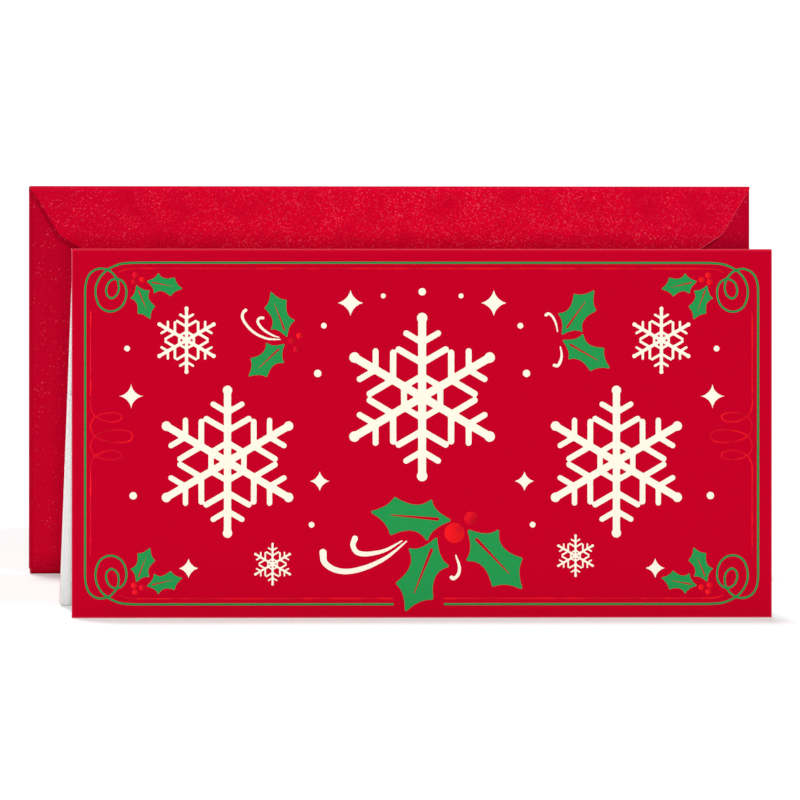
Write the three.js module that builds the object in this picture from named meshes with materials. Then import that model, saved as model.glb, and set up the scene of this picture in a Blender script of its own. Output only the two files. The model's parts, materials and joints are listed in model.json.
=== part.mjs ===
// A folded money holder card that stands like a tent, with its envelope standing behind it.
// Millimetres, +Z up, +X along the card's fold. The card's printed front looks towards -Y.
// The origin is at the middle of the set's footprint, on the surface that the set stands on.

import * as THREE from "three";

// Card blank
const cardWidth = 171;
const cardHeight = 89;                               // from the top of the fold to the bottom edge
const cardStock = 0.36;                              // thickness of the card
const standAngle = THREE.MathUtils.degToRad(7.2);    // lean of each panel from upright

// Money pocket, folded up from the foot of the back panel and glued at its two sides
const pocketHeight = 55;
const pocketSideInset = 1;                           // pocket's folded sides stay inside the card's cut edges
const pocketTabWidth = 5;                            // leaves room between the tabs for a flat banknote
const pocketTabEndInset = 3;
const pocketTabTaper = 2;
const tabFoldGap = 0.03;                             // between a tab and the pocket panel that it folds under
const thumbNotchWidth = 26;
const thumbNotchDepth = 10;
const closedGap = 0.15;                              // left over the pocket when the card is shut

// Envelope, a size larger than the card that goes into it
const envelopePaper = 0.2;                           // thickness of the paper
const envelopeSideEase = 3.25;                       // outside of the envelope beyond the card, each side
const envelopeHeightEase = 5.2;
const envelopeDepthEase = 0.36;                      // play of the shut card between the envelope's walls
const envelopeBehind = 58.9;                         // from the card's back foot to the envelope's foot
const envelopeShift = 4.8;                           // envelope's middle to the right of the card's
const envelopeLean = THREE.MathUtils.degToRad(7.2);
const envelopeCornerRelief = 0.4;                    // long folds stop short of the corners
const sideFlapWidth = 16;
const sideFlapTaper = 4;
const sideFlapTopInset = 1.2;
const throatDepth = 14;                              // from the flap's fold down to the mouth's cut edge
const backPanelSideInset = 0.6;

// Closing flap, with steep shoulders, two long slopes and a rounded point
const flapClearance = 0.3;                           // between the shut flap and the side flaps
const flapSideInset = 0.4;
const flapShoulderInset = 7.5;
const flapShoulderDrop = 12.4;                       // from the envelope's top edge
const flapShoulderRound = 5;
const flapApexDrop = 54;                             // where the two slopes would meet
const flapTipReach = 15;                             // half the width of the rounded point
const gumInset = 3;
const gumWidth = 9;
const gumEndInset = 18;

// Glue and clearances
const glueFilm = 0.04;
const filmGap = 0.03;                                // on each side of a film of glue
const foldGap = 0.05;                                // between a fold and a panel fixed to it
const runGap = 0.1;                                  // between a fold and the panel that swings round it
const foldWrap = THREE.MathUtils.degToRad(40);       // how far a working fold runs on past its straight end
const tabGlueWidth = 3.6;
const tabGlueEndInset = 4;
const seamGlueWidth = 9;
const seamGlueEndInset = 8;
const bendSegments = 12;
const curveSegments = 14;

// Sizes that follow from those above
const glueLine = glueFilm + 2 * filmGap;
const pocketStack = glueLine + cardStock + tabFoldGap + cardStock;
const spineInner = (pocketStack + closedGap) / 2;
const spineOuter = spineInner + cardStock;
const frontLength = cardHeight - spineOuter;         // from the fold's axis to the bottom edge
const frontTop = Math.sqrt((spineOuter + runGap) ** 2 - spineInner ** 2);
const ridgeHeight = frontLength * Math.cos(standAngle) - spineInner * Math.sin(standAngle);

const pocketFoldOuter = (cardStock + pocketStack) / 2;
const pocketFoldInner = pocketFoldOuter - cardStock;
const pocketFoldY = spineOuter - pocketFoldOuter;
const pocketFoldDrop = (ridgeHeight + pocketFoldY * Math.sin(standAngle) - pocketFoldOuter)
  / Math.cos(standAngle);
const backFootY = pocketFoldY * Math.cos(standAngle) + pocketFoldDrop * Math.sin(standAngle);
const tabFoldRadius = cardStock + tabFoldGap / 2;
const tabFoldX = cardWidth / 2 - pocketSideInset - tabFoldRadius;
const pocketFace = spineInner - pocketStack;
const tabBack = spineInner - glueLine;

const shutCard = 2 * spineOuter;
const envelopeGap = shutCard + envelopeDepthEase;
const envelopeWidth = cardWidth + 2 * envelopeSideEase;
const envelopeHeight = cardHeight + envelopeHeightEase;
const addressFace = envelopeGap / 2 + envelopePaper;
const bottomFoldOuter = addressFace;
const bottomFoldInner = envelopeGap / 2;
const sideFlapBack = -addressFace - glueLine;
const sideFlapFace = sideFlapBack - envelopePaper;
const sideFoldOuter = (addressFace - sideFlapFace) / 2;
const sideFoldInner = sideFoldOuter - envelopePaper;
const sideFoldY = (addressFace + sideFlapFace) / 2;
const sideFoldX = envelopeWidth / 2 - sideFoldOuter;
const flapFace = sideFlapFace - flapClearance - envelopePaper;
const flapFoldOuter = (addressFace - flapFace) / 2;
const flapFoldInner = flapFoldOuter - envelopePaper;
const flapFoldY = (addressFace + flapFace) / 2;
const flapFoldZ = envelopeHeight - bottomFoldOuter - flapFoldOuter;
const flapTop = -Math.sqrt((flapFoldOuter + runGap) ** 2 - flapFoldInner ** 2);
const sideFlapTop = flapFoldZ - sideFlapTopInset;
const throatZ = flapFoldZ - throatDepth;

// Colours and finishes
const printedRed = { color: 0xc70027, roughness: 0.42, metalness: 0 };
const insideWhite = { color: 0xe9e7e4, roughness: 0.8, metalness: 0 };
const pearlRed = { color: 0xc8082b, roughness: 0.45, metalness: 0.1 };
const dryGlue = { color: 0xe8e2d0, roughness: 0.35, metalness: 0 };

function addPiece(group, name, geometry, finish) {
  const mesh = new THREE.Mesh(geometry, new THREE.MeshStandardMaterial(finish));
  mesh.name = name;
  group.add(mesh);
}

function addGroup(parent) {
  const group = new THREE.Group();
  parent.add(group);
  return group;
}

function outlineOf(points) {
  return new THREE.Shape(points.map(([x, z]) => new THREE.Vector2(x, z)));
}

function rectangle(lowX, highX, lowZ, highZ) {
  return outlineOf([[lowX, lowZ], [highX, lowZ], [highX, highZ], [lowX, highZ]]);
}

// A flap's outline, full along its fold and narrower along its free edge.
function taperedOutline(foldX, freeX, lowZ, highZ, taper) {
  return outlineOf([[foldX, lowZ], [freeX, lowZ + taper], [freeX, highZ - taper], [foldX, highZ]]);
}

function extrude(outline, depth, segments) {
  return new THREE.ExtrudeGeometry(outline, { depth, bevelEnabled: false, curveSegments: segments });
}

// A flat sheet: an outline in X and Z, with its -Y face at faceY.
function sheet(outline, faceY, thickness) {
  const geometry = extrude(outline, thickness, curveSegments);
  geometry.rotateX(Math.PI / 2);
  return geometry.translate(0, faceY + thickness, 0);
}

// The section of a strip bent round a centre, from one angle to another.
function bendSection(inner, outer, startAngle, endAngle) {
  const section = new THREE.Shape();
  section.absarc(0, 0, outer, startAngle, endAngle, false);
  section.absarc(0, 0, inner, endAngle, startAngle, true);
  section.closePath();
  return section;
}

// A fold that runs along X, centred on the middle, from a section drawn in Y and Z.
function foldAlongX(section, length) {
  const geometry = extrude(section, length, bendSegments);
  geometry.translate(0, 0, -length / 2);
  const alongX = new THREE.Matrix4().makeBasis(
    new THREE.Vector3(0, 1, 0), new THREE.Vector3(0, 0, 1), new THREE.Vector3(1, 0, 0));
  return geometry.applyMatrix4(alongX);
}

// A fold that runs along Z between two heights, from a section drawn in X and Y.
function foldAlongZ(section, lowZ, highZ) {
  return extrude(section, highZ - lowZ, bendSegments).translate(0, 0, lowZ);
}

const set = new THREE.Group();
const sides = [["left", -1], ["right", 1]];

// Card: both panels hang from the fold's axis and lean apart.
const card = addGroup(set);
card.position.z = ridgeHeight;
const cardBack = addGroup(card);
cardBack.rotation.x = standAngle;
const cardFront = addGroup(card);
cardFront.rotation.x = -standAngle;

const frontOutline = rectangle(-cardWidth / 2, cardWidth / 2, -frontLength, -frontTop);
addPiece(cardFront, "front_panel", sheet(frontOutline, -spineOuter, cardStock), printedRed);

const backOutline = rectangle(-cardWidth / 2, cardWidth / 2, -pocketFoldDrop + foldGap, -foldGap);
addPiece(cardBack, "back_panel", sheet(backOutline, spineInner, cardStock), printedRed);

const spineSection = bendSection(spineInner, spineOuter, 0, Math.PI - 2 * standAngle + foldWrap);
addPiece(cardBack, "spine_fold", foldAlongX(spineSection, cardWidth), printedRed);

// Pocket: the fold at the card's back foot, the panel with its thumb notch, and the glued side tabs.
const pocketFoldSection = bendSection(pocketFoldInner, pocketFoldOuter, Math.PI, 2 * Math.PI);
const pocketFold = foldAlongX(pocketFoldSection, 2 * tabFoldX);
addPiece(cardBack, "pocket_fold", pocketFold.translate(0, pocketFoldY, -pocketFoldDrop), insideWhite);

const pocketLow = -pocketFoldDrop + foldGap;
const pocketHigh = -pocketFoldDrop + pocketHeight;
const pocketHalf = tabFoldX - foldGap;
const pocketOutline = new THREE.Shape();
pocketOutline.moveTo(-pocketHalf, pocketLow);
pocketOutline.lineTo(pocketHalf, pocketLow);
pocketOutline.lineTo(pocketHalf, pocketHigh);
pocketOutline.lineTo(thumbNotchWidth / 2, pocketHigh);
pocketOutline.absellipse(0, pocketHigh, thumbNotchWidth / 2, thumbNotchDepth, 0, Math.PI, true);
pocketOutline.lineTo(-pocketHalf, pocketHigh);
addPiece(cardBack, "pocket_panel", sheet(pocketOutline, pocketFace, cardStock), insideWhite);

const tabLow = pocketLow + pocketTabEndInset;
const tabHigh = pocketHigh - pocketTabEndInset;
for (const [side, sign] of sides) {
  const foldX = sign * tabFoldX;
  const halfTurnStart = -sign * Math.PI / 2;
  const halfRound = new THREE.Shape();
  halfRound.absarc(0, 0, tabFoldRadius, halfTurnStart, halfTurnStart + Math.PI, false);
  halfRound.closePath();
  const tabFold = foldAlongZ(halfRound, tabLow, tabHigh);
  tabFold.translate(foldX, pocketFace + tabFoldRadius, 0);
  addPiece(cardBack, `tab_fold_${side}`, tabFold, insideWhite);

  const tabFoldEdge = foldX - sign * foldGap;
  const tabFreeEdge = foldX - sign * pocketTabWidth;
  const tabOutline = taperedOutline(tabFoldEdge, tabFreeEdge, tabLow, tabHigh, pocketTabTaper);
  addPiece(cardBack, `pocket_tab_${side}`, sheet(tabOutline, tabBack - cardStock, cardStock), insideWhite);

  const glueMiddle = (tabFoldEdge + tabFreeEdge) / 2;
  const tabGlue = rectangle(glueMiddle - tabGlueWidth / 2, glueMiddle + tabGlueWidth / 2,
    tabLow + tabGlueEndInset, tabHigh - tabGlueEndInset);
  addPiece(cardBack, `tab_glue_${side}`, sheet(tabGlue, tabBack + filmGap, glueFilm), dryGlue);
}

// Envelope: it stands on its bottom fold, whose centre line is the group's own X axis.
const envelope = addGroup(set);
envelope.position.set(envelopeShift, backFootY + envelopeBehind, bottomFoldOuter);
envelope.rotation.x = -envelopeLean;

const longFold = envelopeWidth - 2 * envelopeCornerRelief;
const addressOutline = rectangle(-sideFoldX + foldGap, sideFoldX - foldGap, foldGap, flapFoldZ - foldGap);
addPiece(envelope, "envelope_address_panel", sheet(addressOutline, envelopeGap / 2, envelopePaper), pearlRed);

const bottomSection = bendSection(bottomFoldInner, bottomFoldOuter, Math.PI, 2 * Math.PI);
addPiece(envelope, "envelope_bottom_fold", foldAlongX(bottomSection, longFold), pearlRed);

const backPanelHalf = sideFoldX - backPanelSideInset;
const backPanelOutline = rectangle(-backPanelHalf, backPanelHalf, foldGap, throatZ);
addPiece(envelope, "envelope_back_panel", sheet(backPanelOutline, -addressFace, envelopePaper), pearlRed);

for (const [side, sign] of sides) {
  const foldX = sign * sideFoldX;
  const halfTurnStart = -sign * Math.PI / 2;
  const foldSection = bendSection(sideFoldInner, sideFoldOuter, halfTurnStart, halfTurnStart + Math.PI);
  const sideFold = foldAlongZ(foldSection, foldGap, sideFlapTop);
  addPiece(envelope, `envelope_side_fold_${side}`, sideFold.translate(foldX, sideFoldY, 0), pearlRed);

  const flapFoldEdge = foldX - sign * foldGap;
  const flapFreeEdge = foldX - sign * sideFlapWidth;
  const flapOutline = taperedOutline(flapFoldEdge, flapFreeEdge, foldGap, sideFlapTop, sideFlapTaper);
  addPiece(envelope, `envelope_side_flap_${side}`, sheet(flapOutline, sideFlapFace, envelopePaper), pearlRed);

  const glueMiddle = (flapFoldEdge + flapFreeEdge) / 2;
  const seamGlue = rectangle(glueMiddle - seamGlueWidth / 2, glueMiddle + seamGlueWidth / 2,
    seamGlueEndInset, throatZ - seamGlueEndInset);
  addPiece(envelope, `seam_glue_${side}`, sheet(seamGlue, sideFlapBack + filmGap, glueFilm), dryGlue);
}

const flapFoldSection = bendSection(flapFoldInner, flapFoldOuter, 0, Math.PI + foldWrap);
const flapFold = foldAlongX(flapFoldSection, longFold);
addPiece(envelope, "envelope_flap_fold", flapFold.translate(0, flapFoldY, flapFoldZ), pearlRed);

// Closing flap: it hangs from its fold's axis, over the mouth and the two side flaps.
const flap = addGroup(envelope);
flap.position.set(0, flapFoldY, flapFoldZ);

const flapHalf = envelopeWidth / 2 - flapSideInset;
const shoulderX = envelopeWidth / 2 - flapShoulderInset;
const shoulderZ = flapFoldOuter - flapShoulderDrop;
const apexZ = flapFoldOuter - flapApexDrop;
const flapSlope = (shoulderZ - apexZ) / shoulderX;

function slopeZ(x) {
  return apexZ + Math.abs(x) * flapSlope;
}

// The flap's lower edge, raised by a lift: a slope, the rounded point and the other slope.
function traceFlapEdge(path, fromX, lift) {
  const tipX = Math.sign(fromX) * flapTipReach;
  path.lineTo(fromX, slopeZ(fromX) + lift);
  path.lineTo(tipX, slopeZ(tipX) + lift);
  path.quadraticCurveTo(0, apexZ + lift, -tipX, slopeZ(tipX) + lift);
  path.lineTo(-fromX, slopeZ(fromX) + lift);
}

const corner = new THREE.Vector2(flapHalf, flapTop);
const shoulder = new THREE.Vector2(shoulderX, shoulderZ);
const aboveShoulder = corner.clone().sub(shoulder).setLength(flapShoulderRound).add(shoulder);
const belowShoulderX = shoulderX - flapShoulderRound / Math.hypot(1, flapSlope);

const closingOutline = new THREE.Shape();
closingOutline.moveTo(corner.x, corner.y);
closingOutline.lineTo(-corner.x, corner.y);
closingOutline.lineTo(-aboveShoulder.x, aboveShoulder.y);
closingOutline.quadraticCurveTo(-shoulder.x, shoulder.y, -belowShoulderX, slopeZ(belowShoulderX));
traceFlapEdge(closingOutline, -belowShoulderX, 0);
closingOutline.quadraticCurveTo(shoulder.x, shoulder.y, aboveShoulder.x, aboveShoulder.y);
addPiece(flap, "closing_flap", sheet(closingOutline, -flapFoldOuter, envelopePaper), pearlRed);

const gumHalf = flapHalf - gumEndInset;
const gumOutline = new THREE.Shape();
gumOutline.moveTo(-gumHalf, slopeZ(gumHalf) + gumInset + gumWidth);
traceFlapEdge(gumOutline, -gumHalf, gumInset);
traceFlapEdge(gumOutline, gumHalf, gumInset + gumWidth);
addPiece(flap, "flap_gum", sheet(gumOutline, -flapFoldInner + filmGap, glueFilm), dryGlue);

// Stand the whole set on z = 0 with the middle of its box over the origin.
const box = new THREE.Box3().setFromObject(set, true);
const middle = box.getCenter(new THREE.Vector3());
set.position.set(-middle.x, -middle.y, -box.min.z);

const moneyHolderCard = new THREE.Group();
moneyHolderCard.add(set);

export default moneyHolderCard;
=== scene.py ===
import json
import math

import bpy
import numpy as np
from mathutils import Matrix, Vector


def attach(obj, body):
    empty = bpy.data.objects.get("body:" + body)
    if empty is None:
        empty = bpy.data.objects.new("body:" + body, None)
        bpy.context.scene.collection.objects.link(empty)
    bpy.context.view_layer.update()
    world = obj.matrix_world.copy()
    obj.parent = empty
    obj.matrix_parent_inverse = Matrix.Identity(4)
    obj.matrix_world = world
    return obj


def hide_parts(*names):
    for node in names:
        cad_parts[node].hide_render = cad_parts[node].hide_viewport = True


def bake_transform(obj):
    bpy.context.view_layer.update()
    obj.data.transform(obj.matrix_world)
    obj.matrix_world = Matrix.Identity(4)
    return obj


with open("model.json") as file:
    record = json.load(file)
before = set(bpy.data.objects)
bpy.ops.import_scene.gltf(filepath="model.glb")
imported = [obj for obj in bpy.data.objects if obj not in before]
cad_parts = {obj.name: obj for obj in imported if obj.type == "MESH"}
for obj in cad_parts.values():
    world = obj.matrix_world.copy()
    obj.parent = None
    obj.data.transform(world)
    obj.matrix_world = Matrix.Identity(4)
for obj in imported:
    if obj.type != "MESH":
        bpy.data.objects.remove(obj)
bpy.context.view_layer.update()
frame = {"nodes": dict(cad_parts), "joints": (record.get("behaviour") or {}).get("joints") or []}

mm = 0.001  # shapes are worked out in millimetres and put down in metres
creaseAngle = math.radians(40)  # edges that turn by more than this are shaded sharp
colourFrom, colourTo, colourOut = 6, 7, 2  # a Mix node's sockets for colours, and its output for them
valueFrom, valueTo = 2, 3  # the same node's sockets for plain numbers
joints = {joint["name"]: joint for joint in frame["joints"]}


# An sRGB hex colour as the linear colour that a shader takes, by the standard's curve
def toLinear(hexColour):
    srgb = np.array([int(hexColour[k:k + 2], 16) for k in (0, 2, 4)]) / 255
    linear = np.where(srgb <= 0.04045, srgb / 12.92, ((srgb + 0.055) / 1.055) ** 2.4)
    return (*linear.tolist(), 1.0)


# Gives a node's sockets their values: an output of another node is linked, and text is a hex colour
def setInputs(tree, node, inputs):
    for socket, value in inputs.items():
        if isinstance(value, bpy.types.NodeSocket):
            tree.links.new(value, node.inputs[socket])
        else:
            node.inputs[socket].default_value = toLinear(value) if isinstance(value, str) else value


# Adds a shader node with its settings, its values and its links
def addNode(tree, kind, settings, inputs):
    node = tree.nodes.new("ShaderNode" + kind)
    for name, value in settings.items():
        setattr(node, name, value)
    setInputs(tree, node, inputs)
    return node


def startMaterial(name):
    material = bpy.data.materials.new(name)
    material.use_nodes = True
    tree = material.node_tree
    place = addNode(tree, "TexCoord", {}, {}).outputs["Object"]
    return material, tree, tree.nodes["Principled BSDF"], place


# Ends a matt material: its colour, its finish and a relief from a height
def endMaterial(tree, shader, look, colour, height):
    bump = addNode(tree, "Bump", {},
                   {"Strength": look["bump"], "Distance": look["relief"] * mm, "Height": height})
    setInputs(tree, shader, {"Base Color": colour, "Roughness": look["roughness"],
                             "Specular IOR Level": look["specular"], "Normal": bump.outputs[0]})


# Board printed by offset in a solid red and coated matt: flat and even, with a faint mottle of ink on the
# fibres, and paler where the ink has worn off the cut edges and cracked along the fold. Along the fold the
# paler line is also a painted highlight, as of the ridge catching the light.
printedBoard = {"ink": "C10025", "thinInk": "BE0024", "wornAndHighlight": "E0566B", "wornAndHighlightShare": 0.75, "mottle": 1.4,
                "grain": 0.35, "bump": 0.06, "relief": 0.02, "roughness": 0.62, "specular": 0.008}


def makePrintedBoard(look):
    material, tree, shader, place = startMaterial("offset_printed_matt_board")
    mottle = addNode(tree, "TexNoise", {},
                     {"Vector": place, "Scale": 1 / (look["mottle"] * mm), "Detail": 3})
    ink = addNode(tree, "Mix", {"data_type": "RGBA"},
                  {"Factor": mottle.outputs["Fac"], colourFrom: look["thinInk"], colourTo: look["ink"]})
    # worn cut edges, and on the fold's ridge a paler line that is partly a painted highlight
    wear = addNode(tree, "Attribute", {"attribute_name": "wear"}, {})
    share = addNode(tree, "Math", {"operation": "MULTIPLY"}, {0: wear.outputs["Fac"], 1: look["wornAndHighlightShare"]})
    wornAndHighlight = addNode(tree, "Mix", {"data_type": "RGBA"},
                   {"Factor": share.outputs[0], colourFrom: ink.outputs[colourOut], colourTo: look["wornAndHighlight"]})
    grain = addNode(tree, "TexNoise", {}, {"Vector": place, "Scale": 1 / (look["grain"] * mm), "Detail": 2})
    endMaterial(tree, shader, look, wornAndHighlight.outputs[colourOut], grain.outputs["Fac"])
    return material


# Paper, ink and glue of two close tones in a fine grain that also gives a faint relief. The grain is in
# millimetres, and slender is how often a grain's breadth goes into its length along the fold: long for
# fibres, round for inks.
whiteBoard = {"light": "F4F3F1", "dark": "EDECEA", "grain": 1.6667, "slender": 3, "detail": 4, "bump": 0.1,
              "relief": 0.03, "roughness": 0.85, "specular": 0.2}  # uncoated and matt
cutEdge = {**whiteBoard, "light": "DE8894", "dark": "C8606F", "grain": 1.0, "roughness": 0.9,
           "specular": 0.1}  # stained by the ink
plainRed = {**whiteBoard, "light": "B4032A", "dark": "A10124", "roughness": 0.8,
            "specular": 0.1}  # paper dyed in the pulp
greenInk = {"light": "1D964C", "dark": "178D45", "grain": 0.8, "slender": 1, "detail": 3, "bump": 0.05,
            "relief": 0.02, "roughness": 0.6, "specular": 0.1}  # an opaque film
ruleInk = {**greenInk, "light": "0F8F48", "dark": "0A8641"}  # laid more heavily on the thin rule
creamInk = {**greenInk, "light": "FAF6E5", "dark": "F3EEDA"}
driedGlue = {**greenInk, "light": "EAE3CF", "dark": "DCD1B4", "grain": 1.2, "roughness": 0.4,
             "specular": 0.4}  # yellowish, with a faint gloss


def makeGrained(name, look):
    material, tree, shader, place = startMaterial(name)
    along = addNode(tree, "Mapping", {}, {"Vector": place, "Scale": (1, look["slender"], look["slender"])})
    grain = addNode(tree, "TexNoise", {}, {"Vector": along.outputs[0], "Scale": 1 / (look["grain"] * mm),
                                           "Detail": look["detail"]}).outputs["Fac"]
    tone = addNode(tree, "Mix", {"data_type": "RGBA"},
                   {"Factor": grain, colourFrom: look["dark"], colourTo: look["light"]})
    endMaterial(tree, shader, look, tone.outputs[colourOut], grain)
    return material


# Pearl paper: red paper coated with mica flakes, in a fine grain with soft clouds in it. The glints are
# painted highlights: a pale colour mixed in where flakes would face the eye. The paper is also painted
# brighter, with more glints painted, where a sheet's attribute says it is turned to the light: this is
# painted light, not the mica's own response. The pale edge colour is a painted highlight too. Real flakes
# are about 0.05 mm; they are drawn as coarse as they need to show. Low and high are the ends of the range
# that each pattern is stretched from.
pearlPaper = {"dull": "AE0026", "bright": "E6002C", "paintedGlint": "FF6A80", "wornAndHighlight": "F25C76", "flake": 0.27,
              "grain": 0.3, "grainLow": 0.2, "grainHigh": 0.8, "grainShare": 1.0,
              "cloudSize": 6.0, "cloudLow": 0.3, "cloudHigh": 0.65, "cloudShare": 0.3,
              "paintedShineLow": 0.1, "paintedShineHigh": 0.7, "rareFrom": 0.975, "paintedGlintFrom": 0.8, "paintedGlintShare": 0.58,
              "paintedGlintLeast": 0.6, "roughness": 0.5, "specular": 0.01}


def makePearlPaper(look):
    material, tree, shader, place = startMaterial("mica_coated_pearl_paper")
    # painted light: each sheet's brightness is set by this attribute, as if by how it is turned to the light
    shimmer = addNode(tree, "Attribute", {"attribute_name": "shimmer"}, {}).outputs["Fac"]
    cloud = addNode(tree, "TexNoise", {},
                    {"Vector": place, "Scale": 1 / (look["cloudSize"] * mm), "Detail": 3}).outputs["Fac"]
    grain = addNode(tree, "TexNoise", {},
                    {"Vector": place, "Scale": 1 / (look["grain"] * mm), "Detail": 1}).outputs["Fac"]
    uneven = addNode(tree, "Mix", {}, {"Factor": look["cloudShare"], valueFrom: grain, valueTo: cloud})
    sway = addNode(tree, "MapRange", {},
                   {"Value": uneven.outputs[0], "From Min": look["grainLow"], "From Max": look["grainHigh"],
                    "To Min": 1 - look["grainShare"], "To Max": 1 + look["grainShare"]})
    shine = addNode(tree, "Math", {"operation": "MULTIPLY", "use_clamp": True},
                    {0: shimmer, 1: sway.outputs[0]})
    tone = addNode(tree, "Mix", {"data_type": "RGBA"},
                   {"Factor": shine.outputs[0], colourFrom: look["dull"], colourTo: look["bright"]})
    # painted highlights: flakes that would glint are picked at random and painted a pale pink
    flake = addNode(tree, "TexVoronoi", {"feature": "F1"},
                    {"Vector": place, "Scale": 1 / (look["flake"] * mm)})
    chance = addNode(tree, "SeparateColor", {}, {"Color": flake.outputs["Color"]})
    rare = addNode(tree, "MapRange", {},
                   {"Value": shimmer, "From Min": look["paintedShineLow"], "From Max": look["paintedShineHigh"],
                    "To Min": look["rareFrom"], "To Max": look["paintedGlintFrom"]})
    turned = addNode(tree, "MapRange", {"interpolation_type": "SMOOTHSTEP"},
                     {"Value": chance.outputs[0], "From Min": rare.outputs[0], "To Max": look["paintedGlintShare"]})
    dense = addNode(tree, "MapRange", {},
                    {"Value": cloud, "From Min": look["cloudLow"], "From Max": look["cloudHigh"]})
    least = addNode(tree, "Math", {"operation": "MAXIMUM"}, {0: shimmer, 1: look["paintedGlintLeast"]})
    cover = addNode(tree, "Math", {"operation": "MULTIPLY"}, {0: dense.outputs[0], 1: least.outputs[0]})
    paintedGlint = addNode(tree, "Math", {"operation": "MULTIPLY"}, {0: turned.outputs[0], 1: cover.outputs[0]})
    # the painted glints mixed into the colour
    lit = addNode(tree, "Mix", {"data_type": "RGBA"},
                  {"Factor": paintedGlint.outputs[0], colourFrom: tone.outputs[colourOut], colourTo: look["paintedGlint"]})
    # painted highlight: the flap's pale edge line, on the side towards the light
    wear = addNode(tree, "Attribute", {"attribute_name": "wear"}, {}).outputs["Fac"]
    wornAndHighlight = addNode(tree, "Mix", {"data_type": "RGBA"},
                   {"Factor": wear, colourFrom: lit.outputs[colourOut], colourTo: look["wornAndHighlight"]})
    setInputs(tree, shader, {"Base Color": wornAndHighlight.outputs[colourOut], "Roughness": look["roughness"],
                             "Specular IOR Level": look["specular"]})
    return material


# Hot-stamped red foil: a metal film. The light and dark patches of the room that it would mirror are
# painted reflections: a noise paints its colour lighter and darker, lost in the red between them. An
# attribute paints each part lighter or darker as if by how far it is turned to the light.
redFoil = {"bright": "AE1016", "even": "A00A1B", "dim": "920819", "patch": 4.5, "dimTo": 0.36,
           "evenFrom": 0.46, "evenTo": 0.48, "brightFrom": 0.6, "roughness": 0.34}


def makeFoil(look):
    material, tree, shader, place = startMaterial("hot_stamped_red_foil")
    # painted reflections: patches of lighter and darker colour
    patch = addNode(tree, "TexNoise", {},
                    {"Vector": place, "Scale": 1 / (look["patch"] * mm), "Detail": 2}).outputs["Fac"]
    paintedGleam = addNode(tree, "Attribute", {"attribute_name": "paintedGleam"}, {}).outputs["Fac"]
    light = addNode(tree, "Math", {"operation": "ADD"}, {0: patch, 1: paintedGleam}).outputs[0]
    darker = addNode(tree, "MapRange", {},
                     {"Value": light, "From Min": look["dimTo"], "From Max": look["evenFrom"]})
    lighter = addNode(tree, "MapRange", {},
                      {"Value": light, "From Min": look["evenTo"], "From Max": look["brightFrom"]})
    shade = addNode(tree, "Mix", {"data_type": "RGBA"},
                    {"Factor": darker.outputs[0], colourFrom: look["dim"], colourTo: look["even"]})
    tone = addNode(tree, "Mix", {"data_type": "RGBA"},
                   {"Factor": lighter.outputs[0], colourFrom: shade.outputs[colourOut],
                    colourTo: look["bright"]})
    setInputs(tree, shader, {"Base Color": tone.outputs[colourOut], "Roughness": look["roughness"],
                             "Metallic": 1.0})
    return material


printedRed = makePrintedBoard(printedBoard)
boardInside = makeGrained("uncoated_white_board", whiteBoard)
boardEdge = makeGrained("cut_board_edge", cutEdge)
pearlRed = makePearlPaper(pearlPaper)
paperInside = makeGrained("dyed_red_paper", plainRed)
inkGreen = makeGrained("screen_printed_green_ink", greenInk)
inkRule = makeGrained("screen_printed_heavy_green_ink", ruleInk)
inkCream = makeGrained("screen_printed_cream_ink", creamInk)
foilRed = makeFoil(redFoil)
glueFilm = makeGrained("dried_gum_film", driedGlue)
print("materials made:", len(bpy.data.materials))


# Puts a new object into the scene, at the origin
def addObject(name, data):
    added = bpy.data.objects.new(name, data)
    bpy.context.collection.objects.link(added)
    return added


# Puts points (mm) and four-sided faces into the mesh of a new piece
def buildPiece(name, points, faces, materials, faceSlots=None, attributes=None):
    mesh = bpy.data.meshes.new(name)
    mesh.from_pydata((points * mm).tolist(), [], faces.tolist())
    for material in materials:
        mesh.materials.append(material)
    if faceSlots is not None:
        mesh.polygons.foreach_set("material_index", faceSlots)
    for label, values in (attributes or {}).items():
        mesh.attributes.new(label, "FLOAT", "POINT").data.foreach_set("value", values.astype(np.float32))
    mesh.polygons.foreach_set("use_smooth", np.ones(len(faces), bool))
    mesh.set_sharp_from_angle(angle=creaseAngle)
    mesh.update()
    return addObject(name, mesh)


# A closed sheet of paper from its two faces, each a grid of points: the outside keeps the grid's order, the
# inside is the same grid turned round, and a rim of faces joins the two along the grid's border. The
# materials are for the outside, the inside and the rim, and a fourth for as many of the outside's first
# rows as the print runs over.
def buildSheet(name, outside, inside, materials, attributes=None, printRows=0):
    rows, columns = outside.shape[:2]
    index = np.arange(rows * columns).reshape(rows, columns)
    face = np.stack([index[:-1, :-1], index[:-1, 1:], index[1:, 1:], index[1:, :-1]], axis=-1).reshape(-1, 4)
    border = np.concatenate([index[0, :-1], index[:-1, -1], index[-1, :0:-1], index[:0:-1, 0]])
    following = np.roll(border, -1)
    under = rows * columns
    rim = np.stack([following, border, border + under, following + under], axis=-1)
    faces = np.concatenate([face, face[:, ::-1] + under, rim])
    first, right, below = outside[0, 0], outside[0, 1], outside[1, 0]
    if np.dot(np.cross(right - first, below - first), first - inside[0, 0]) < 0:  # turned to look outwards
        faces = faces[:, ::-1]
    faceSlots = np.repeat([0, 1, 2], [len(face), len(face), len(rim)])
    faceSlots[:printRows * (columns - 1)] = 3
    points = np.concatenate([outside.reshape(-1, 3), inside.reshape(-1, 3)])
    return buildPiece(name, points, faces, materials, faceSlots, attributes)


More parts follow.
